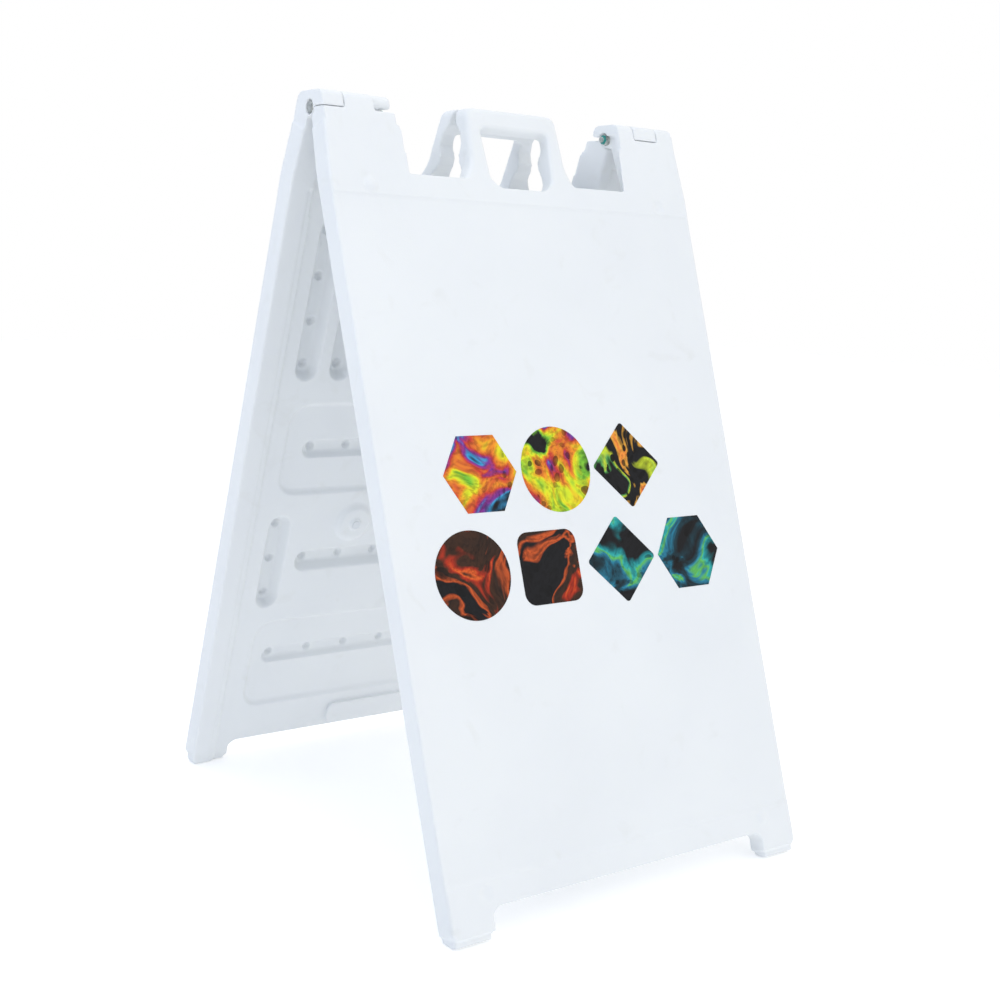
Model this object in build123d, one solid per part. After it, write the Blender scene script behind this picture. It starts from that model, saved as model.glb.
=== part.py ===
from build123d import *
import math
import os

# Folding A-frame sidewalk sign.  Millimetres, +Z up, X across the sign, front panel toward -Y.
# Both panels are one and the same hollow plastic moulding; the rear one is turned half a turn
# about Z.  A panel is drawn hanging straight down from the hinge axis (the X axis) with its flat
# inner side at Y = 0, then swung out by HALF_ANGLE and lifted by HINGE_HEIGHT.
# "drop" is a distance down from the hinge axis, "depth" a distance outward from the inner plane.

os.makedirs("parts", exist_ok=True)

# ---- driving dimensions ----------------------------------------------------------------------
WIDTH = 635.0
THICKNESS = 36.0
WALL = 2.5
HALF_ANGLE = 20.0
INNER_GAP = 0.5             # each panel stays this far off the plane it folds against

TOP_EDGE = 96.0             # drop of the edge between ears and handle
BOTTOM_EDGE = 1079.0        # drop of the edge between the feet
FOOT_FACE = 1109.0          # drop of the outer face of a foot
TOE = 1119.0                # drop of the tip of a toe
FLOOR_EDGE = 1112.0         # drop of the floor line on the inner plane
FOOT_INSIDE = 250.0         # half the clear width between the feet
FOOT_CORNER = 7.0
TOE_INSET = 4.5
NOTCH_RADIUS = 16.0
EDGE_RADIUS = 3.0

SIGN_TOP = 128.0            # the sign field takes a 36 in high sheet
SIGN_HEIGHT = 914.4
SIGN_RECESS = 1.5

# ears and hinge
EAR_TOP_INSIDE = 199.0      # half the gap between the ears, at the top
EAR_ROOT_INSIDE = 190.0     # the same at the foot of the ear
EAR_TOP_OUTSIDE = 310.5
TAPER_START = 100.0         # drop where the side edge starts to lean inward
EAR_BACK_TOP = 207.0        # inner edge of an ear on its inner plane
EAR_BACK_ROOT = 222.0
FINGER_OUTER = (277.0, EAR_TOP_OUTSIDE)
FINGER_MIDDLE = (231.0, 277.0)
FINGER_INNER = (EAR_TOP_INSIDE, 231.0)
FINGER_GAP = 0.4            # taken off each side of a finger
ROOF = 21.5                 # roof of the knuckles above the hinge axis, board open
ROOF_FRONT_RADIUS = 15.0
ROOF_BACK_RADIUS = 12.0
BEAK = 25.0                 # reach of an inner finger past the axis
BEAK_TIP = 4.0              # height of its tip above the axis, board open
BEAK_RADIUS = 4.0
SHOULDER = 0.2              # height of the flat on which the other panel's finger rests
SHOULDER_RADIUS = 1.5
REST_GAP = 0.5              # what is left between finger and shoulder
SLEEVE_RADIUS = 12.0
SLEEVE_CLEARANCE = 1.0
FINGER_DROP = 30.0          # fingers reach this far down into the ear
CANOPY = 5.0                # lower limit of the roof that overhangs the nut
EAR_STUMP = 60.0            # width of the slab that runs up into an ear

BOLT_RADIUS = 4.0
FIXED_BORE = 4.05
RUNNING_BORE = 4.1
HEAD_SEAT = 303.0           # outer face the head washer bears on
NUT_SEAT = 208.0            # inner face the nut washer bears on
HEAD_POCKET_RADIUS = 9.8
WASHER_RADIUS = 8.0
WASHER_THICKNESS = 1.6
BOLT_CHAMFER = 0.8
HEX_FLATS = 13.0
HEAD_HEIGHT = 5.0
NUT_HEX_HEIGHT = 5.8
NUT_COLLAR_HEIGHT = 2.2
NUT_COLLAR_RADIUS = 5.6
BOLT_LENGTH = 110.0

# handle
HANDLE_HALF_WIDTH = 82.0
HANDLE_ROOF = 19.5          # roof of the bar above the hinge axis, board open
HANDLE_SETBACK = 2.0        # the bar stays this far off the middle of the open board
HANDLE_WAIST = ((8.0, 5.0), (15.0, 22.0), (15.0, 36.0), (5.5, 50.0), (5.5, 62.0), (12.0, 76.0))
HANDLE_WAIST_RADIUS = 5.0   # rounds the (depth, drop) corners of the back above
HANDLE_CORNER = 14.0
HANDLE_EDGE = 8.0
HOLE_EDGE = 4.0
HANDLE_ROOT_HALF_WIDTH = 104.0
FLARE_DROP = 50.0           # the legs spread outward below this
FLARE_BULGE = (90.0, 80.0)  # half width and drop halfway down the flare
HANDLE_OVERLAP = 5.0        # how far the handle runs into the body
HOLE_TOP = 19.0
HOLE_BOTTOM = 105.0
HOLE_TOP_HALF_WIDTH = 60.0
HOLE_BOTTOM_HALF_WIDTH = 53.0
HOLE_TOP_RADIUS = 7.0
HOLE_BOTTOM_RADIUS = 22.0
TROUGH = (60.0, 104.0)      # reach of the hollow at the foot of a leg, on the inner side
TROUGH_DROP = 97.0
TROUGH_RADIUS = 14.0

# inner side
RIM_STEP = 288.0
RIM_STEP_DEPTH = 2.5
RIM_STEP_TOP = 110.0
PAN_HALF_WIDTH = 279.0
PAN_DEPTH = 8.0
PAN_DRAFT = 20.0
PAN_TOP = 118.0
EAR_PAN_INSIDE = 236.0
EAR_PAN_TOP = 42.0
PAN_CORNER = 16.0
FIELDS = ((248.0, 437.0, 597.0), (240.0, 833.0, 1010.0))    # half width, top and bottom drop
FIELD_DEPTH = 14.0
FIELD_DRAFT = 42.0
FIELD_CORNER = 34.0
SLOT_WIDTH = 40.0
SLOT_DEPTH = 24.0
SLOT_DRAFT = 30.0
UPRIGHT_SLOTS = ((234.0, 150.0, 400.0, 4), (176.0, 150.0, 400.0, 4), (229.0, 632.0, 806.0, 3))
LEVEL_SLOTS = ((216.0, -216.0, 518.0, 7), (191.0, -191.0, 721.0, 6), (219.0, -192.0, 908.0, 6))
DIMPLE_RADIUS = 8.0
DIMPLE_END_RADIUS = 4.0
DIMPLE_DEPTH = 31.5
DIMPLE_SETBACK = 22.0       # from the end of a slot to its first dimple

BOSS_X = 94.0
BOSS_DROP = 654.0
DOME_BASE_RADIUS = 36.0
DOME_TOP_RADIUS = 26.0
DOME_DEPTH = 1.0            # depth of the top of the dome
NIPPLE_BASE_RADIUS = 14.0
NIPPLE_TOP_RADIUS = 9.0
NIPPLE_DEPTH = -2.5         # the nipple reaches past the inner plane, into the other panel's pan
PLUG_RADIUS = 4.0
PLUG_CAP_RADIUS = 7.0
PLUG_CAP = 1.2
PLUG_LENGTH = 9.0

LEDGE = (-196.0, 64.0)
LEDGE_DROPS = (1030.0, 1068.0)
LEDGE_DEPTH = 0.8
LEDGE_DRAFT = 25.0
LEDGE_CORNER = 12.0

# stacking lugs on the outer side
LUG_X = 256.0
LUG_TOP = 116.0
LUG_BOTTOM = 1059.0
LUG_RADIUS = 11.0
LUG_HEIGHT = 3.0
LUG_SINK = 0.2              # how far a lug runs into the face
DENT_DEPTH = 2.4            # the dents that the lugs of the next board sit in

# cut vinyl shapes
VINYL = 0.25
SHAPE_SIZE = 122.0
TILE_SIZE = 102.0
TILE_CORNER = 18.0
DIAMOND_SIDE = 90.0
DIAMOND_CORNER = 5.0
SHAPE_PITCH = 131.0
UPPER_ROW = (-156.0, 510.0)     # x of the first shape and drop of the row
LOWER_ROW = (-194.0, 646.0)

HINGE_HEIGHT = FLOOR_EDGE * math.cos(math.radians(HALF_ANGLE))
HALF_WIDTH = WIDTH / 2
SIGN_FACE = THICKNESS - SIGN_RECESS
SLOPE = math.tan(math.radians(HALF_ANGLE))


# ---- helpers ---------------------------------------------------------------------------------
def block(x_range, depth_range, drop_range):
    """Box given by its ranges across, in depth and in drop."""
    sizes = [abs(r[1] - r[0]) for r in (x_range, depth_range, drop_range)]
    centre = (
        (x_range[0] + x_range[1]) / 2,
        -(depth_range[0] + depth_range[1]) / 2,
        -(drop_range[0] + drop_range[1]) / 2,
    )
    return Pos(*centre) * Box(*sizes)


def face_on_panel(sketch, depth):
    """Puts a sketch drawn in (x, -drop) on the panel, facing outward, at the given depth."""
    return Plane(origin=(0, -depth, 0), x_dir=(1, 0, 0), z_dir=(0, -1, 0)) * sketch


def extrude_outward(sketch, depth_range, taper=0):
    """Extrudes a panel sketch outward between two depths."""
    start, end = depth_range
    return extrude(face_on_panel(sketch, start), end - start, taper=taper)


def both_sides(shape):
    return shape + mirror(shape, about=Plane.YZ)


def rod(x_range, radius):
    """Cylinder about the hinge axis."""
    length = x_range[1] - x_range[0]
    return Pos((x_range[0] + x_range[1]) / 2, 0, 0) * Rot(0, 90, 0) * Cylinder(radius, length)


def hexagon_bar(x_range):
    length = x_range[1] - x_range[0]
    hexagon = RegularPolygon(HEX_FLATS / 2, 6, major_radius=False)
    return Pos(x_range[0], 0, 0) * Rot(0, 90, 0) * extrude(hexagon, length)


# ---- body of the panel -----------------------------------------------------------------------
def body_outline():
    """Right half of the slab with one foot and the stump of one ear, drawn in (x, -drop)."""
    lean = (HALF_WIDTH - EAR_TOP_OUTSIDE) * (TAPER_START - FINGER_DROP) / TAPER_START
    points = [
        (0, -BOTTOM_EDGE),
        (FOOT_INSIDE, -BOTTOM_EDGE),
        (FOOT_INSIDE, -FOOT_FACE),
        (HALF_WIDTH, -FOOT_FACE),
        (HALF_WIDTH, -TAPER_START),
        (HALF_WIDTH - lean, -FINGER_DROP),
        (HALF_WIDTH - EAR_STUMP, -FINGER_DROP),
        (HALF_WIDTH - EAR_STUMP, -TOP_EDGE),
        (0, -TOP_EDGE),
    ]
    half = make_face(Polyline(*points, close=True))
    notch = half.vertices().filter_by(lambda v: abs(v.X - FOOT_INSIDE) < 1 and v.Y > -FOOT_FACE + 1)
    half = fillet(notch, NOTCH_RADIUS)
    corner = half.vertices().filter_by(lambda v: v.X > HALF_WIDTH - 1 and v.Y < -FOOT_FACE + 1)
    return chamfer(corner, FOOT_CORNER)


def slab():
    half = body_outline()
    outline = half + mirror(half, about=Plane.YZ)
    solid = extrude_outward(outline, (INNER_GAP, THICKNESS))
    long_edges = solid.edges().filter_by(
        lambda e: abs(abs(e.center().X) - HALF_WIDTH) < 0.01 and e.length > 0.8 * TOE
    )
    return fillet(long_edges, EDGE_RADIUS)


def toes():
    toe = block(
        (FOOT_INSIDE + TOE_INSET, HALF_WIDTH - TOE_INSET),
        (INNER_GAP, THICKNESS - TOE_INSET),
        (BOTTOM_EDGE - WALL, TOE),
    )
    return both_sides(toe)


def below_floor():
    """Everything below the floor line, which makes the soles lie flat with the board open."""
    reach = 2 * THICKNESS
    points = [
        (-reach, -FLOOR_EDGE + reach * SLOPE),
        (reach, -FLOOR_EDGE - reach * SLOPE),
        (reach, -2 * TOE),
        (-reach, -2 * TOE),
    ]
    profile = Polyline(*[(-depth, height) for depth, height in points], close=True)
    sketch = Plane.YZ * make_face(profile)
    return extrude(sketch, WIDTH, both=True)


# ---- ears and hinge fingers ------------------------------------------------------------------
def open_point(y, z):
    """Point given with the board open, turned into the upright front panel."""
    turn = math.radians(HALF_ANGLE)
    return (y * math.cos(turn) - z * math.sin(turn), y * math.sin(turn) + z * math.cos(turn))


def outer_face_at(z):
    """Y of the outer face of the open front panel at height z above the axis."""
    turn = math.radians(HALF_ANGLE)
    return -(THICKNESS - z * math.sin(turn)) / math.cos(turn)


def finger_profile(beaked):
    """Side outline of a finger, over the bolt and down onto the other panel's shoulder.

    It ends flush with the other panel's outer face, or in a shorter beak at the inner end.
    """
    rest = SHOULDER + REST_GAP
    reach = BEAK if beaked else -outer_face_at(rest)
    tip_height = BEAK_TIP if beaked else rest
    front_corner = open_point(outer_face_at(ROOF), ROOF)
    back_corner = open_point(BEAK if beaked else -outer_face_at(ROOF), ROOF)
    tip = open_point(reach, tip_height)
    points = [
        (-THICKNESS, -FINGER_DROP - WALL),
        front_corner,
        back_corner,
        tip,
        open_point(SLEEVE_RADIUS + BEAK_TIP, rest),
        open_point(SLEEVE_RADIUS - SLEEVE_CLEARANCE, rest),
        (-INNER_GAP, 0),
        (-INNER_GAP, -FINGER_DROP - WALL),
    ]
    if not beaked:
        points.pop(4)
    face = make_face(Polyline(*points, close=True))
    tip_radius = BEAK_RADIUS if beaked else SHOULDER_RADIUS
    roundings = ((front_corner, ROOF_FRONT_RADIUS), (back_corner, ROOF_BACK_RADIUS), (tip, tip_radius))
    for corner, radius in roundings:
        vertex = face.vertices().sort_by_distance(corner)[0]
        face = fillet(vertex, radius)
    return face + Circle(SLEEVE_RADIUS)


def shoulder_profile():
    """Side outline of an ear where the other panel's finger passes over it."""
    outer_corner = open_point(outer_face_at(SHOULDER), SHOULDER)
    points = [
        (-THICKNESS, -FINGER_DROP - WALL),
        outer_corner,
        open_point(-SLEEVE_RADIUS, SHOULDER),
        (-INNER_GAP, -SLEEVE_RADIUS),
        (-INNER_GAP, -FINGER_DROP - WALL),
    ]
    face = make_face(Polyline(*points, close=True))
    face = fillet(face.vertices().sort_by_distance(outer_corner)[0], SHOULDER_RADIUS)
    return face - Circle(SLEEVE_RADIUS + SLEEVE_CLEARANCE)


def ear_mask():
    """Space the right ear may fill: its inner flank slants back, the roof overhangs the nut."""
    reach = 1.2 * THICKNESS     # how far the mask goes behind the inner plane
    spread = (THICKNESS + reach) / THICKNESS
    outlines = []
    for share in (0, spread):
        root = EAR_ROOT_INSIDE + (EAR_BACK_ROOT - EAR_ROOT_INSIDE) * share
        top = EAR_TOP_INSIDE + (EAR_BACK_TOP - EAR_TOP_INSIDE) * share
        points = [
            (root, -TOP_EDGE - WALL),
            (WIDTH, -TOP_EDGE - WALL),
            (WIDTH, 2 * ROOF),
            (top, 2 * ROOF),
        ]
        depth = THICKNESS * (1 - share)
        outlines.append(face_on_panel(make_face(Polyline(*points, close=True)), depth))
    flank = loft(outlines, ruled=True)
    canopy = block((EAR_TOP_INSIDE, WIDTH), (-2 * THICKNESS, 2 * THICKNESS), (-4 * ROOF, -CANOPY))
    return flank + Rot(HALF_ANGLE, 0, 0) * canopy + rod((NUT_SEAT, WIDTH), SLEEVE_RADIUS + 1)


def taper_trim():
    """Wedge removed from the outer flank of the right ear."""
    points = [
        (HALF_WIDTH, -TAPER_START),
        (EAR_TOP_OUTSIDE, 0),
        (EAR_TOP_OUTSIDE, 4 * ROOF),
        (2 * WIDTH, 4 * ROOF),
        (2 * WIDTH, -TAPER_START),
    ]
    return extrude_outward(make_face(Polyline(*points, close=True)), (-2 * THICKNESS, 2 * THICKNESS))


def zone(profile, x_range):
    """Extrudes a side outline across one finger's width, less the gap beside it."""
    start = x_range[0] + FINGER_GAP
    length = x_range[1] - x_range[0] - 2 * FINGER_GAP
    return extrude(Plane(origin=(start, 0, 0), x_dir=(0, 1, 0), z_dir=(1, 0, 0)) * profile, length)


def ear(side):
    """Ear on the right (side=1) or left (-1): two fingers on the right, one on the left."""
    shoulder = shoulder_profile()
    if side > 0:
        profiles = (finger_profile(False), shoulder, finger_profile(True))
    else:
        profiles = (shoulder, finger_profile(False), shoulder)
    widths = (FINGER_OUTER, FINGER_MIDDLE, FINGER_INNER)
    heads = [zone(profile, width) for profile, width in zip(profiles, widths)]
    head = heads[0] + heads[1] + heads[2]
    root = block(
        (EAR_ROOT_INSIDE, EAR_TOP_OUTSIDE), (INNER_GAP, THICKNESS), (FINGER_DROP, TOP_EDGE + WALL)
    )
    solid = ((head + root) & ear_mask()) - taper_trim()
    if side > 0:
        solid -= rod((EAR_TOP_INSIDE - 1, HEAD_SEAT + 1), FIXED_BORE)
        solid -= rod((HEAD_SEAT, WIDTH), HEAD_POCKET_RADIUS)
        solid -= rod((0, NUT_SEAT), HEAD_POCKET_RADIUS)
        return solid
    solid -= rod((EAR_TOP_INSIDE - 1, WIDTH), RUNNING_BORE)
    return mirror(solid, about=Plane.YZ)


# ---- handle ----------------------------------------------------------------------------------
def handle_outline():
    """Right half of the handle seen from the front, drawn in (x, -drop)."""
    root = (HANDLE_ROOT_HALF_WIDTH, -TOP_EDGE - WALL)
    flare_top = (HANDLE_HALF_WIDTH + 2, -FLARE_DROP)
    shoulder = (HANDLE_HALF_WIDTH - 3, HANDLE_ROOF)
    bottom = -HOLE_BOTTOM - HANDLE_OVERLAP
    return make_face(
        [
            ThreePointArc(root, (FLARE_BULGE[0], -FLARE_BULGE[1]), flare_top),
            Line(flare_top, shoulder),
            Line(shoulder, (0, HANDLE_ROOF)),
            Line((0, HANDLE_ROOF), (0, bottom)),
            Line((0, bottom), (root[0], bottom)),
            Line((root[0], bottom), root),
        ]
    )


def handle_side():
    """Side outline of the handle: its roof is level with the board open, its back has a waist."""
    bottom = -HOLE_BOTTOM - HANDLE_OVERLAP
    waist = [(-depth, -drop) for depth, drop in HANDLE_WAIST]
    points = [
        (-THICKNESS, bottom),
        open_point(outer_face_at(HANDLE_ROOF), HANDLE_ROOF),
        open_point(-HANDLE_SETBACK, HANDLE_ROOF),
        *waist,
        (waist[-1][0], bottom),
    ]
    face = make_face(Polyline(*points, close=True))
    for corner in waist:
        face = fillet(face.vertices().sort_by_distance(corner)[0], HANDLE_WAIST_RADIUS)
    return face


def handle():
    half = handle_outline()
    bar = extrude_outward(half + mirror(half, about=Plane.YZ), (0, THICKNESS))
    reach = HANDLE_ROOT_HALF_WIDTH
    bar &= zone(handle_side(), (-reach - FINGER_GAP, reach + FINGER_GAP))
    corners = bar.edges().filter_by(lambda e: abs(e.center().X) > HOLE_TOP_HALF_WIDTH)
    corners = corners.filter_by(lambda e: e.center().Z > HANDLE_ROOF / 2 and abs(e.tangent_at(0).X) < 0.1)
    bar = fillet(corners.sort_by(SortBy.LENGTH)[-2:], HANDLE_CORNER)
    bar -= hand_hole()
    rims = bar.edges().filter_by(lambda e: abs(e.center().Y + THICKNESS) < 0.01 and e.length > 5)
    rims = rims.filter_by(lambda e: e.center().Z > -TOP_EDGE)
    hole = rims.filter_by(lambda e: abs(e.center().X) < HOLE_TOP_HALF_WIDTH + 1 and e.center().Z < -9)
    outside = [rim for rim in rims if rim not in hole]
    bar = fillet(outside, HANDLE_EDGE)
    hole = [edge for edge in bar.edges() if any(edge.center() == rim.center() for rim in hole)]
    return fillet(hole, HOLE_EDGE)


def hand_hole():
    points = [
        (-HOLE_TOP_HALF_WIDTH, -HOLE_TOP),
        (HOLE_TOP_HALF_WIDTH, -HOLE_TOP),
        (HOLE_BOTTOM_HALF_WIDTH, -HOLE_BOTTOM),
        (-HOLE_BOTTOM_HALF_WIDTH, -HOLE_BOTTOM),
    ]
    outline = make_face(Polyline(*points, close=True))
    outline = fillet(outline.vertices().sort_by(Axis.Y)[:2], HOLE_BOTTOM_RADIUS)
    outline = fillet(outline.vertices().sort_by(Axis.Y)[-2:], HOLE_TOP_RADIUS)
    return extrude_outward(outline, (-1, 2 * THICKNESS))


# ---- pockets of the inner side ---------------------------------------------------------------
# Each tool is used twice: as drawn it is cut from the outside, grown by WALL it is kept out of
# the hollow, so the skin follows the pocket.
def pan(grow):
    main = RectangleRounded(2 * PAN_HALF_WIDTH, 2 * BOTTOM_EDGE - PAN_TOP, PAN_CORNER)
    main = Pos(0, -PAN_TOP - BOTTOM_EDGE + PAN_TOP / 2) * main
    if grow:
        main = offset(main, grow)
    tool = extrude_outward(main, (-1, PAN_DEPTH + grow), taper=PAN_DRAFT)
    ears = block(
        (EAR_PAN_INSIDE - grow, PAN_HALF_WIDTH + grow),
        (-1, PAN_DEPTH + grow),
        (EAR_PAN_TOP - grow, PAN_TOP + PAN_CORNER * 2 + grow),
    )
    return tool + both_sides(ears)


def rim_step(grow):
    """Shallow step that runs down both sides of the pan."""
    side = RIM_STEP + grow
    return block((-side, side), (-1, RIM_STEP_DEPTH + grow), (RIM_STEP_TOP - grow, 2 * TOE))


def trough(grow):
    """Round hollow across the foot of each handle leg."""
    start, end = TROUGH[0] - grow, TROUGH[1]
    tool = rod((start, end), TROUGH_RADIUS + grow) + Pos(end, 0, 0) * Sphere(TROUGH_RADIUS + grow)
    return both_sides(Pos(0, 0, -TROUGH_DROP) * tool)


def framed_field(half_width, top, bottom, grow):
    """Wide shallow field with sloping sides, sunk into the pan."""
    field = RectangleRounded(2 * (half_width + grow), bottom - top + 2 * grow, FIELD_CORNER + grow)
    field = Pos(0, -(top + bottom) / 2) * field
    return extrude_outward(field, (PAN_DEPTH - 1, FIELD_DEPTH + grow), taper=FIELD_DRAFT)


def slot(start, end, dimples, grow):
    """Long pocket between two (x, drop) ends with tack-off dimples along its floor."""
    run = math.dist(start, end)
    angle = math.degrees(math.atan2(start[1] - end[1], end[0] - start[0]))
    middle = Pos((start[0] + end[0]) / 2, -(start[1] + end[1]) / 2) * Rot(0, 0, angle)
    shape = middle * SlotOverall(run + 2 * grow, SLOT_WIDTH + 2 * grow)
    tool = extrude_outward(shape, (PAN_DEPTH - 1, SLOT_DEPTH + grow), taper=SLOT_DRAFT)
    for number in range(dimples):
        share = (DIMPLE_SETBACK + (run - 2 * DIMPLE_SETBACK) * number / (dimples - 1)) / run
        x = start[0] + (end[0] - start[0]) * share
        drop = start[1] + (end[1] - start[1]) * share
        length = DIMPLE_DEPTH - SLOT_DEPTH + 1
        cone = Cone(DIMPLE_RADIUS + grow, DIMPLE_END_RADIUS + grow, length + grow)
        depth = SLOT_DEPTH - 1 + (length + grow) / 2
        tool += Pos(x, -depth, -drop) * Rot(90, 0, 0) * cone
    return tool


def pockets(grow):
    tools = [pan(grow), rim_step(grow), trough(grow)]
    for half_width, top, bottom in FIELDS:
        tools.append(framed_field(half_width, top, bottom, grow))
    for x, top, bottom, dimples in UPRIGHT_SLOTS:
        for side in (-1, 1):
            tools.append(slot((side * x, top), (side * x, bottom), dimples, grow))
    for right, left, drop, dimples in LEVEL_SLOTS:
        tools.append(slot((right, drop), (left, drop), dimples, grow))
    return tools


# ---- boss, ledge, lugs -----------------------------------------------------------------------
def boss(shrink):
    """Low flat cone on the pan with a nipple on top that takes the vent plug."""
    steps = (
        (DOME_BASE_RADIUS, DOME_TOP_RADIUS, DOME_DEPTH),
        (NIPPLE_BASE_RADIUS, NIPPLE_TOP_RADIUS, NIPPLE_DEPTH),
    )
    solid = None
    for base, top, depth in steps:
        height = PAN_DEPTH + 1 - depth
        cone = Rot(-90, 0, 0) * Cone(base - shrink, top - shrink, height)
        cone = Pos(BOSS_X, -depth - height / 2 - shrink, -BOSS_DROP) * cone
        solid = cone if solid is None else solid + cone
    return solid


def plug_hole(radius, depth_range):
    length = depth_range[1] - depth_range[0]
    centre = -(depth_range[0] + depth_range[1]) / 2
    return Pos(BOSS_X, centre, -BOSS_DROP) * Rot(90, 0, 0) * Cylinder(radius, length)


def ledge():
    """Low bar along the bottom of the pan, with sloping sides."""
    length, width = LEDGE[1] - LEDGE[0], LEDGE_DROPS[1] - LEDGE_DROPS[0]
    outline = Pos(sum(LEDGE) / 2, -sum(LEDGE_DROPS) / 2) * RectangleRounded(length, width, LEDGE_CORNER)
    return extrude_outward(outline, (PAN_DEPTH + 1, LEDGE_DEPTH), taper=-LEDGE_DRAFT)


def lug(x, drop):
    """Shallow spherical cap that stands out of the outer face."""
    ball_radius = (LUG_RADIUS**2 + LUG_HEIGHT**2) / (2 * LUG_HEIGHT)
    ball = Pos(x, -THICKNESS - LUG_HEIGHT + ball_radius, -drop) * Sphere(ball_radius)
    return ball & block((-WIDTH, WIDTH), (THICKNESS - LUG_SINK, 2 * THICKNESS), (0, TOE))


def dent(x, drop):
    """Ball that leaves a shallow dent in the outer face."""
    ball_radius = (LUG_RADIUS**2 + DENT_DEPTH**2) / (2 * DENT_DEPTH)
    return Pos(x, -THICKNESS + DENT_DEPTH - ball_radius, -drop) * Sphere(ball_radius)


# ---- hollow ----------------------------------------------------------------------------------
def hollow():
    """Air space of the moulding, before the pockets are kept out of it."""
    inner, outer = INNER_GAP + WALL, SIGN_FACE - WALL
    side = HALF_WIDTH - WALL
    main = block((-side, side), (inner, outer), (TOP_EDGE + WALL, BOTTOM_EDGE - WALL))
    hole_side = HOLE_TOP_HALF_WIDTH
    main -= block((-hole_side, hole_side), (0, THICKNESS), (TOP_EDGE, HOLE_BOTTOM + WALL))
    ear_side = HALF_WIDTH - 4 * WALL
    ear_drops = (FINGER_DROP + WALL, 2 * TOP_EDGE)
    ears = block((EAR_BACK_ROOT + WALL, ear_side), (inner, outer), ear_drops)
    feet = block(
        (FOOT_INSIDE + TOE_INSET + WALL, HALF_WIDTH - TOE_INSET - WALL),
        (inner, THICKNESS - TOE_INSET - WALL),
        (BOTTOM_EDGE - 2 * WALL, FLOOR_EDGE - 2 * WALL),
    )
    return main + both_sides(ears) + both_sides(feet)


# ---- the whole panel -------------------------------------------------------------------------
def panel():
    solid = slab() + toes() + ear(1) + ear(-1) + handle()
    solid -= hand_hole()
    solid -= below_floor()
    for tool in pockets(0):
        solid -= tool
    solid += boss(0)
    solid += ledge()
    solid -= block((-WIDTH, WIDTH), (SIGN_FACE, 2 * THICKNESS), (SIGN_TOP, SIGN_TOP + SIGN_HEIGHT))

    air = hollow()
    for tool in pockets(WALL):
        air -= tool
    solid -= air
    solid -= boss(WALL)
    solid -= plug_hole(PLUG_RADIUS, (NIPPLE_DEPTH - 1, PAN_DEPTH))

    for side in (-1, 1):
        solid += lug(side * LUG_X, LUG_TOP if side < 0 else LUG_BOTTOM)
        solid -= dent(side * LUG_X, LUG_BOTTOM if side < 0 else LUG_TOP)
    return solid


# ---- hardware, drawn on the right ear --------------------------------------------------------
def washer(x_range):
    return rod(x_range, WASHER_RADIUS) - rod(x_range, FIXED_BORE)


def hinge_hardware():
    """Bolt, its two washers and the lock nut, keyed by name."""
    head_washer = (HEAD_SEAT, HEAD_SEAT + WASHER_THICKNESS)
    nut_washer = (NUT_SEAT - WASHER_THICKNESS, NUT_SEAT)
    head_start = head_washer[1]
    hex_start = nut_washer[0] - NUT_HEX_HEIGHT
    collar_start = hex_start - NUT_COLLAR_HEIGHT

    head = hexagon_bar((head_start, head_start + HEAD_HEIGHT))
    shank = rod((head_start - BOLT_LENGTH, head_start), BOLT_RADIUS)
    tip = shank.edges().sort_by(Axis.X)[0]
    bolt = chamfer(tip, BOLT_CHAMFER) + head

    nut = hexagon_bar((hex_start, nut_washer[0])) + rod((collar_start, hex_start), NUT_COLLAR_RADIUS)
    nut -= rod((collar_start, nut_washer[0]), BOLT_RADIUS)
    return {
        "hinge_bolt": bolt,
        "head_washer": washer(head_washer),
        "nut_washer": washer(nut_washer),
        "lock_nut": nut,
    }


def vent_plug():
    cap = plug_hole(PLUG_CAP_RADIUS, (NIPPLE_DEPTH - PLUG_CAP, NIPPLE_DEPTH))
    return cap + plug_hole(PLUG_RADIUS, (NIPPLE_DEPTH, NIPPLE_DEPTH + PLUG_LENGTH))


# ---- cut vinyl shapes on the front sign field ------------------------------------------------
def vinyl_shapes():
    """Plain geometric shapes in two rows, keyed by name."""
    outlines = {
        "hexagon": RegularPolygon(SHAPE_SIZE / 2, 6),
        "disc": Circle(SHAPE_SIZE / 2),
        "diamond": Rot(0, 0, 45) * RectangleRounded(DIAMOND_SIDE, DIAMOND_SIDE, DIAMOND_CORNER),
        "tile": RectangleRounded(TILE_SIZE, TILE_SIZE, TILE_CORNER),
    }
    rows = (
        ("upper", UPPER_ROW, ("hexagon", "disc", "diamond")),
        ("lower", LOWER_ROW, ("disc", "tile", "diamond", "hexagon")),
    )
    shapes = {}
    for row, (first_x, drop), names in rows:
        for number, name in enumerate(names):
            sketch = Pos(first_x + number * SHAPE_PITCH, -drop) * outlines[name]
            shapes[f"vinyl_{row}_{name}"] = extrude_outward(sketch, (SIGN_FACE, SIGN_FACE + VINYL))
    return shapes


# ---- assembly --------------------------------------------------------------------------------
front_pose = Pos(0, 0, HINGE_HEIGHT) * Rot(-HALF_ANGLE, 0, 0)
rear_pose = Pos(0, 0, HINGE_HEIGHT) * Rot(HALF_ANGLE, 0, 0) * Rot(0, 0, 180)

moulding = panel()
plug = vent_plug()
nodes = {
    "front_panel": front_pose * moulding,
    "rear_panel": rear_pose * moulding,
    "front_vent_plug": front_pose * plug,
    "rear_vent_plug": rear_pose * plug,
}
for name, piece in hinge_hardware().items():
    nodes[f"right_{name}"] = front_pose * piece
    nodes[f"left_{name}"] = rear_pose * piece
for name, piece in vinyl_shapes().items():
    nodes[name] = front_pose * piece

for name, piece in nodes.items():
    export_step(piece, f"parts/{name}.step")
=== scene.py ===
"""Folding A-frame sidewalk sign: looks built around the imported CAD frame."""

import math

import bmesh
import bpy
from mathutils import Matrix, Vector


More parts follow.
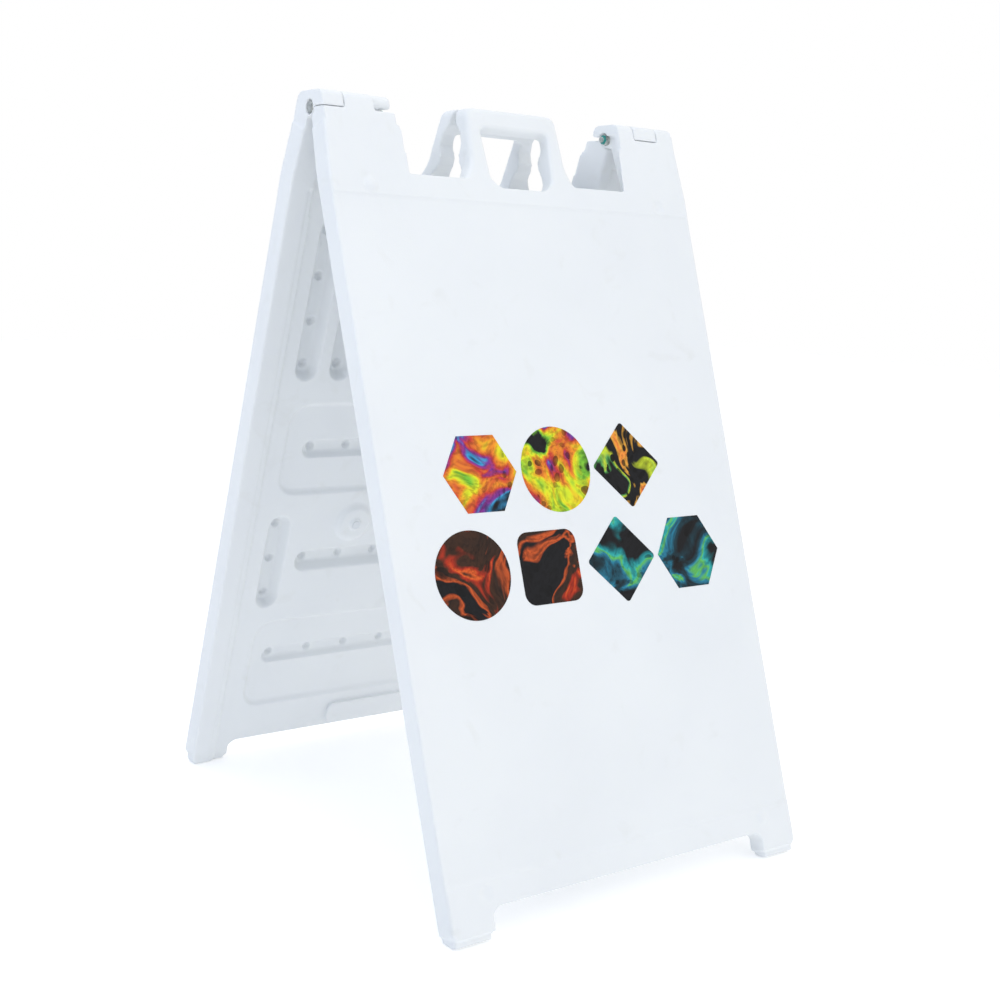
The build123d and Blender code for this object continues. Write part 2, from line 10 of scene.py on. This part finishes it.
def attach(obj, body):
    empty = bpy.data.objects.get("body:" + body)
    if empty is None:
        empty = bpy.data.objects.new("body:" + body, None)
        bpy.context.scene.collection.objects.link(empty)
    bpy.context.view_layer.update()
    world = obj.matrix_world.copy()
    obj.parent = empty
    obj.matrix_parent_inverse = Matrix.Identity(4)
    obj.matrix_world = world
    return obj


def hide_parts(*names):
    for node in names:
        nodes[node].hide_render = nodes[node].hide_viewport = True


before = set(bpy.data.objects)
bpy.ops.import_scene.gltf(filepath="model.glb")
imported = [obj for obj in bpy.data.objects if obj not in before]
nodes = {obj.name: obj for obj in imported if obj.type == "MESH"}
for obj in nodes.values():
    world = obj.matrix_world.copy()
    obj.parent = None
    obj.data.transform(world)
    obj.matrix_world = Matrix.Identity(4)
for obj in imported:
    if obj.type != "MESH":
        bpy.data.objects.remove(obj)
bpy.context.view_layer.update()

# ---- sizes shared with the CAD part, in metres -------------------------------------------------
HALF_ANGLE = math.radians(20)
HINGE_HEIGHT = 1.112 * math.cos(HALF_ANGLE)
NIPPLE = (0.094, 0.0025, -0.654)     # top of the vent nipple, upright front panel
PLUG_RADIUS = 0.004
NYLON_END = 0.2006                   # the lock nuts' nylon rings lie nearer to the middle than this
THREAD_PITCH = 0.00125
WAVE_FACTOR = 20                     # the wave texture multiplies its coordinate by this

VOXEL = 0.002                        # moulded skins are rebuilt at this grain, then smoothed
SMOOTHING = 4                        # passes of smoothing over the rebuilt skin
SKIN_FACES = 180000                  # triangles kept in each panel
WELD = 1e-6                          # CAD vertices closer than this are one


# ---- materials ---------------------------------------------------------------------------------
def material(name, **constants):
    """New node material; constants are set straight on the shader's sockets."""
    made = bpy.data.materials.new(name)
    made.use_nodes = True
    shader = made.node_tree.nodes["Principled BSDF"]
    for socket, value in constants.items():
        shader.inputs[socket.replace("_", " ")].default_value = value
    return made, made.node_tree, shader


def node(tree, kind, **settings):
    made = tree.nodes.new(kind)
    for key, value in settings.items():
        if key in made.inputs:
            made.inputs[key].default_value = value
        else:
            setattr(made, key, value)
    return made


def noise(tree, coordinates, scale, detail=3.0, distortion=0.0):
    made = node(tree, "ShaderNodeTexNoise", Scale=scale, Detail=detail, Distortion=distortion)
    tree.links.new(coordinates, made.inputs["Vector"])
    return made.outputs["Fac"]


def ramp(tree, factor, stops):
    """Colour ramp through (position, (r, g, b)) stops."""
    made = tree.nodes.new("ShaderNodeValToRGB")
    elements = made.color_ramp.elements
    while len(elements) < len(stops):
        elements.new(0.5)
    for element, (position, colour) in zip(elements, stops):
        element.position = position
        element.color = (*colour, 1)
    tree.links.new(factor, made.inputs["Fac"])
    return made.outputs["Color"]


def remap(tree, value, old, new):
    """Maps the range old onto the range new, clamped."""
    made = tree.nodes.new("ShaderNodeMapRange")
    for socket, limit in zip(("From Min", "From Max", "To Min", "To Max"), (*old, *new)):
        made.inputs[socket].default_value = limit
    tree.links.new(value, made.inputs["Value"])
    return made.outputs["Result"]


def spread(tree, factor, low, high):
    """Maps the middle of a noise onto low..high."""
    return remap(tree, factor, (0.3, 0.7), (low, high))


def bump(tree, height, distance, strength, below=None):
    made = node(tree, "ShaderNodeBump", Distance=distance, Strength=strength)
    tree.links.new(height, made.inputs["Height"])
    if below is not None:
        tree.links.new(below, made.inputs["Normal"])
    return made.outputs["Normal"]


def object_coordinates(tree):
    return tree.nodes.new("ShaderNodeTexCoord").outputs["Object"]


def mix(tree, factor, first, second, blend="MIX"):
    """Colour mix; first and second are sockets or plain colours."""
    made = tree.nodes.new("ShaderNodeMix")
    made.data_type = "RGBA"
    made.blend_type = blend
    for number, value in ((6, first), (7, second)):
        if isinstance(value, tuple):
            made.inputs[number].default_value = (*value, 1)
        else:
            tree.links.new(value, made.inputs[number])
    if isinstance(factor, float):
        made.inputs[0].default_value = factor
    else:
        tree.links.new(factor, made.inputs[0])
    return made.outputs[2]


def arithmetic(tree, operation, first, second):
    made = tree.nodes.new("ShaderNodeMath")
    made.operation = operation
    tree.links.new(first, made.inputs[0])
    if isinstance(second, float):
        made.inputs[1].default_value = second
    else:
        tree.links.new(second, made.inputs[1])
    return made.outputs[0]


def moulded_plastic(name, light, dark, grain):
    """Blown polyethylene: faint cloudy colour, fine pebble grain and slight waviness."""
    made, tree, shader = material(name, Specular_IOR_Level=0.35, Subsurface_Weight=0.1)
    shader.inputs["Subsurface Radius"].default_value = (0.005, 0.005, 0.004)
    where = object_coordinates(tree)
    cloud = noise(tree, where, 5, detail=5)
    tone = ramp(tree, cloud, [(0.35, dark), (0.65, light)])
    smudge = noise(tree, where, 17, detail=7, distortion=0.8)
    grime = ramp(tree, smudge, [(0.62, (1, 1, 1)), (0.80, (0.95, 0.945, 0.93))])
    tree.links.new(mix(tree, 1.0, tone, grime, "MULTIPLY"), shader.inputs["Base Color"])
    scuff = noise(tree, where, 60, detail=6, distortion=1.5)
    tree.links.new(spread(tree, scuff, 0.40, 0.56), shader.inputs["Roughness"])
    wavy = bump(tree, noise(tree, where, 6, detail=1), 0.003, 0.3)
    pebble = bump(tree, noise(tree, where, grain, detail=2), 0.0003, 0.4, below=wavy)
    tree.links.new(pebble, shader.inputs["Normal"])
    return made


def plated_steel(name, threaded=False, nylon=False):
    """Zinc plate; the bolt has a rolled thread, the lock nut a nylon ring."""
    made, tree, shader = material(name)
    where = object_coordinates(tree)
    tone = noise(tree, where, 180, detail=4)
    colour = ramp(tree, tone, [(0.35, (0.42, 0.44, 0.42)), (0.65, (0.66, 0.68, 0.65))])
    grain = bump(tree, noise(tree, where, 1500), 0.00005, 0.4)
    if threaded:
        thread = tree.nodes.new("ShaderNodeTexWave")
        thread.inputs["Scale"].default_value = 2 * math.pi / (WAVE_FACTOR * THREAD_PITCH)
        tree.links.new(where, thread.inputs["Vector"])
        grain = bump(tree, thread.outputs["Fac"], 0.0006, 0.8, below=grain)
    if nylon:
        apart = tree.nodes.new("ShaderNodeSeparateXYZ")
        tree.links.new(where, apart.inputs[0])
        across = arithmetic(tree, "MULTIPLY", apart.outputs["X"], apart.outputs["X"])
        metal = arithmetic(tree, "GREATER_THAN", across, NYLON_END**2)
        colour = mix(tree, metal, (0.03, 0.30, 0.27), colour)
        tree.links.new(metal, shader.inputs["Metallic"])
    else:
        shader.inputs["Metallic"].default_value = 1.0
    tree.links.new(colour, shader.inputs["Base Color"])
    tree.links.new(spread(tree, noise(tree, where, 700), 0.25, 0.42), shader.inputs["Roughness"])
    tree.links.new(grain, shader.inputs["Normal"])
    return made


def marbled_vinyl(name, offset, stops, cell_scale):
    """Film printed with poured paint: flowing bands over black, broken by round cells."""
    made, tree, shader = material(name, Specular_IOR_Level=0.15)
    where = object_coordinates(tree)
    moved = node(tree, "ShaderNodeVectorMath", operation="ADD")
    moved.inputs[1].default_value = offset
    tree.links.new(where, moved.inputs[0])
    swirl = node(tree, "ShaderNodeTexNoise", Scale=8.0, Detail=2.0)
    tree.links.new(moved.outputs[0], swirl.inputs["Vector"])
    pull = node(tree, "ShaderNodeVectorMath", operation="MULTIPLY_ADD")
    pull.inputs[1].default_value = (0.14, 0.14, 0.14)
    tree.links.new(swirl.outputs["Color"], pull.inputs[0])
    tree.links.new(moved.outputs[0], pull.inputs[2])
    flow = pull.outputs[0]
    bands = noise(tree, flow, 6, detail=4, distortion=0.9)
    colour = ramp(tree, bands, stops)
    cells = node(tree, "ShaderNodeTexVoronoi", Scale=cell_scale)
    tree.links.new(flow, cells.inputs["Vector"])
    holes = ramp(tree, cells.outputs["Distance"], [
        (0.30, (0.02, 0.02, 0.025)), (0.34, (1, 1, 1)), (0.40, (0.75, 0.75, 0.75)), (0.55, (1, 1, 1)),
    ])
    patches = spread(tree, noise(tree, moved.outputs[0], 11, detail=1), 0.0, 1.0)
    celled = mix(tree, patches, (1.0, 1.0, 1.0), holes)
    colour = mix(tree, 1.0, colour, celled, "MULTIPLY")
    dust = noise(tree, flow, 160, detail=4)
    speckle = ramp(tree, dust, [(0.38, (0.45, 0.42, 0.42)), (0.55, (1, 1, 1))])
    colour = mix(tree, 0.6, colour, speckle, "MULTIPLY")
    tree.links.new(colour, shader.inputs["Base Color"])
    gloss = noise(tree, where, 90, detail=3)
    tree.links.new(spread(tree, gloss, 0.30, 0.42), shader.inputs["Roughness"])
    tree.links.new(bump(tree, gloss, 0.0002, 0.1), shader.inputs["Normal"])
    return made


BLACK = (0.008, 0.008, 0.010)
EMBER = [
    (0.00, BLACK), (0.38, (0.010, 0.008, 0.008)), (0.43, (0.060, 0.022, 0.010)),
    (0.455, (0.75, 0.12, 0.02)), (0.475, (0.45, 0.03, 0.01)), (0.50, (0.050, 0.020, 0.010)),
    (0.55, (0.030, 0.015, 0.010)), (0.58, (0.62, 0.10, 0.02)), (0.60, BLACK), (1.00, BLACK),
]
BLOOM = [
    (0.00, BLACK), (0.38, BLACK), (0.41, (0.20, 0.55, 0.04)), (0.44, (0.75, 0.78, 0.02)),
    (0.465, (0.86, 0.30, 0.02)), (0.50, (0.60, 0.05, 0.03)), (0.525, (0.18, 0.03, 0.30)),
    (0.54, (0.04, 0.35, 0.65)), (0.56, BLACK), (1.00, (0.03, 0.015, 0.010)),
]
FLARE = [
    (0.00, BLACK), (0.42, BLACK), (0.45, (0.55, 0.05, 0.02)), (0.49, (0.90, 0.22, 0.04)),
    (0.52, (0.80, 0.40, 0.05)), (0.535, BLACK), (0.58, BLACK), (0.60, (0.60, 0.72, 0.03)),
    (0.62, (0.10, 0.40, 0.10)), (0.64, BLACK),
]
LAGOON = [
    (0.00, BLACK), (0.42, BLACK), (0.445, (0.01, 0.20, 0.22)), (0.47, (0.03, 0.42, 0.40)),
    (0.49, (0.12, 0.50, 0.08)), (0.51, (0.02, 0.22, 0.35)), (0.54, (0.01, 0.05, 0.07)),
    (0.58, BLACK), (1.00, BLACK),
]

white_plastic = moulded_plastic("white_polyethylene", (0.80, 0.825, 0.84), (0.775, 0.80, 0.82), 700)
plug_plastic = moulded_plastic("plug_polyethylene", (0.72, 0.75, 0.78), (0.66, 0.69, 0.72), 1100)
plain_steel = plated_steel("zinc_plated_steel")
threaded_steel = plated_steel("threaded_steel", threaded=True)
nut_steel = plated_steel("lock_nut_steel", nylon=True)
vinyls = {
    "vinyl_upper_hexagon": marbled_vinyl("vinyl_a", (0.10, 0.0, 0.3), BLOOM, 55.0),
    "vinyl_upper_disc": marbled_vinyl("vinyl_b", (0.90, 0.2, 0.1), BLOOM, 48.0),
    "vinyl_upper_diamond": marbled_vinyl("vinyl_c", (0.35, 0.7, 0.5), FLARE, 60.0),
    "vinyl_lower_disc": marbled_vinyl("vinyl_d", (1.30, 0.1, 0.9), EMBER, 24.0),
    "vinyl_lower_tile": marbled_vinyl("vinyl_e", (0.60, 0.4, 0.2), EMBER, 30.0),
    "vinyl_lower_diamond": marbled_vinyl("vinyl_f", (2.10, 0.8, 0.4), LAGOON, 60.0),
    "vinyl_lower_hexagon": marbled_vinyl("vinyl_g", (0.20, 1.6, 0.8), LAGOON, 42.0),
}


# ---- the moulded panels ------------------------------------------------------------------------
def pose_of(side):
    """Matrix from the upright panel, hinge axis at the origin, to its open place in the board."""
    lift = Matrix.Translation((0, 0, HINGE_HEIGHT))
    if side == "front":
        return lift @ Matrix.Rotation(-HALF_ANGLE, 4, "X")
    return lift @ Matrix.Rotation(HALF_ANGLE, 4, "X") @ Matrix.Rotation(math.pi, 4, "Z")


def outer_skin(cad_node):
    """The upright panel's outside only.

    The faces of the vent hole are taken out, the air space behind it is dropped, and the hole is
    filled again; the vent plug covers the place.
    """
    mesh = bmesh.new()
    mesh.from_mesh(nodes[cad_node].data)
    mesh.transform(pose_of("front").inverted())
    bmesh.ops.remove_doubles(mesh, verts=mesh.verts, dist=WELD)

    def in_vent(face):
        centre = face.calc_center_median()
        off_axis = math.hypot(centre.x - NIPPLE[0], centre.z - NIPPLE[2])
        return off_axis < PLUG_RADIUS * 1.1 and centre.y < NIPPLE[1] - 1e-4

    bmesh.ops.delete(mesh, geom=[f for f in mesh.faces if in_vent(f)], context="FACES")
    start = max(mesh.verts, key=lambda v: v.co.x)
    kept = {start}
    edge = [start]
    while edge:
        vert = edge.pop()
        for link in vert.link_edges:
            other = link.other_vert(vert)
            if other not in kept:
                kept.add(other)
                edge.append(other)
    bmesh.ops.delete(mesh, geom=[v for v in mesh.verts if v not in kept], context="VERTS")
    bmesh.ops.holes_fill(mesh, edges=[e for e in mesh.edges if e.is_boundary], sides=0)
    data = bpy.data.meshes.new("upright_panel")
    mesh.to_mesh(data)
    mesh.free()
    return data


def with_modifiers(data, *steps):
    """Mesh data after the given modifiers, each (type, settings)."""
    carrier = bpy.data.objects.new("carrier", data)
    bpy.context.scene.collection.objects.link(carrier)
    for kind, settings in steps:
        modifier = carrier.modifiers.new(kind.lower(), kind)
        for key, value in settings.items():
            setattr(modifier, key, value)
    shaped = carrier.evaluated_get(bpy.context.evaluated_depsgraph_get())
    result = bpy.data.meshes.new_from_object(shaped)
    bpy.data.objects.remove(carrier)
    return result


def moulded_skin():
    """Rounded skin of one upright panel, as it comes out of the mould."""
    fine = with_modifiers(
        outer_skin("front_panel"),
        ("REMESH", {"mode": "VOXEL", "voxel_size": VOXEL}),
        ("SMOOTH", {"iterations": SMOOTHING, "factor": 0.5}),
    )
    ratio = SKIN_FACES / (2 * len(fine.polygons))
    thinning = {"ratio": min(1, ratio), "use_collapse_triangulate": True}
    return with_modifiers(fine, ("DECIMATE", thinning))


def add_piece(name, data, body, paint, replaced=()):
    piece = bpy.data.objects.new(name, data)
    bpy.context.scene.collection.objects.link(piece)
    data.materials.clear()
    data.materials.append(paint)
    for polygon in data.polygons:
        polygon.use_smooth = True
    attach(piece, body)
    if replaced:
        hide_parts(*replaced)
    return piece


skin = moulded_skin()
for side in ("front", "rear"):
    data = skin.copy()
    data.transform(pose_of(side))
    shell = add_piece(f"{side}_shell", data, side, white_plastic, [f"{side}_panel"])
    weighted = shell.modifiers.new("weighted", "WEIGHTED_NORMAL")
    weighted.keep_sharp = True

# ---- CAD nodes that keep their shape -----------------------------------------------------------
for name, cad in nodes.items():
    if name.endswith("_panel"):
        continue
    if name in vinyls:
        paint = vinyls[name]
    elif name.endswith("vent_plug"):
        paint = plug_plastic
    elif name.endswith("hinge_bolt"):
        paint = threaded_steel
    elif name.endswith("lock_nut"):
        paint = nut_steel
    else:
        paint = plain_steel
    cad.data.materials.clear()
    cad.data.materials.append(paint)

# ---- floor, light, camera ----------------------------------------------------------------------
STUDIO_WHITE = (1.0, 1.0, 1.0)
STUDIO_BLUE = (0.30, 0.38, 0.52)       # the studio is darker and bluer to the left

FLOOR_REACH = 12.0                     # half the side of the square floor

floor_data = bpy.data.meshes.new("floor")
signs = ((-1, -1), (1, -1), (1, 1), (-1, 1))
corners = [(x * FLOOR_REACH, y * FLOOR_REACH, 0) for x, y in signs]
floor_data.from_pydata(corners, [], [(0, 1, 2, 3)])
floor = bpy.data.objects.new("floor", floor_data)
bpy.context.scene.collection.objects.link(floor)
floor_paint, _, floor_shader = material("floor", Roughness=0.9, Specular_IOR_Level=0.1)
floor_shader.inputs["Base Color"].default_value = (0.93, 0.93, 0.93, 1)
floor_shader.inputs["Emission Color"].default_value = (1, 1, 1, 1)
floor_shader.inputs["Emission Strength"].default_value = 0.25
floor_data.materials.append(floor_paint)

bpy.context.scene.view_settings.view_transform = "Standard"

world = bpy.data.worlds.new("studio")
bpy.context.scene.world = world
world.use_nodes = True
sky = world.node_tree
backdrop = sky.nodes["Background"]
backdrop.inputs["Strength"].default_value = 1.0
direction = sky.nodes.new("ShaderNodeTexCoord").outputs["Generated"]
split = sky.nodes.new("ShaderNodeSeparateXYZ")
sky.links.new(direction, split.inputs[0])
leftness = remap(sky, split.outputs["X"], (-0.9, 0.1), (1.0, 0.0))
sky.links.new(mix(sky, leftness, STUDIO_WHITE, STUDIO_BLUE), backdrop.inputs["Color"])


def softbox(name, place, target, size, power, colour):
    """Square area light at place, turned toward target."""
    light = bpy.data.lights.new(name, "AREA")
    light.shape = "SQUARE"
    light.size = size
    light.energy = power
    light.color = colour
    holder = bpy.data.objects.new(name, light)
    bpy.context.scene.collection.objects.link(holder)
    holder.location = place
    toward = Vector(target) - Vector(place)
    holder.rotation_euler = toward.to_track_quat("-Z", "Y").to_euler()


softbox("key", (1.6, -3.2, 2.6), (0, 0, 0.5), 2.4, 12, (1.0, 0.99, 0.97))
softbox("top", (-0.9, 0.2, 3.6), (0, 0.2, 0.4), 1.6, 18, (1.0, 1.0, 1.0))
softbox("left", (-2.4, -0.5, 2.2), (-0.1, 0.3, 0.5), 1.2, 14, (0.97, 0.98, 1.0))

CAMERA_PLACE = (-1.2547, -1.7261, 0.847)
CAMERA_YAW = math.radians(36.16)
CAMERA_PITCH = math.radians(-14.207)
CAMERA_ROLL = math.radians(2.377)
PICTURE_SIDE = 1000                    # the next two are measured in a square picture of this side
FOCAL_LENGTH = 1392.7
PRINCIPAL_POINT = (481.1, 621.1)
SENSOR_WIDTH = 36

camera_data = bpy.data.cameras.new("camera")
camera_data.sensor_width = SENSOR_WIDTH
camera_data.lens = FOCAL_LENGTH / PICTURE_SIDE * SENSOR_WIDTH
camera_data.shift_x = 0.5 - PRINCIPAL_POINT[0] / PICTURE_SIDE
camera_data.shift_y = PRINCIPAL_POINT[1] / PICTURE_SIDE - 0.5
camera = bpy.data.objects.new("camera", camera_data)
bpy.context.scene.collection.objects.link(camera)
bpy.context.scene.camera = camera
forward = Vector((
    math.sin(CAMERA_YAW) * math.cos(CAMERA_PITCH),
    math.cos(CAMERA_YAW) * math.cos(CAMERA_PITCH),
    math.sin(CAMERA_PITCH),
))
right = Vector((math.cos(CAMERA_YAW), -math.sin(CAMERA_YAW), 0))
up = right.cross(forward)
rolled_right = right * math.cos(CAMERA_ROLL) + up * math.sin(CAMERA_ROLL)
rolled_up = up * math.cos(CAMERA_ROLL) - right * math.sin(CAMERA_ROLL)
turned = Matrix((rolled_right, rolled_up, -forward)).transposed().to_4x4()
camera.matrix_world = Matrix.Translation(CAMERA_PLACE) @ turned
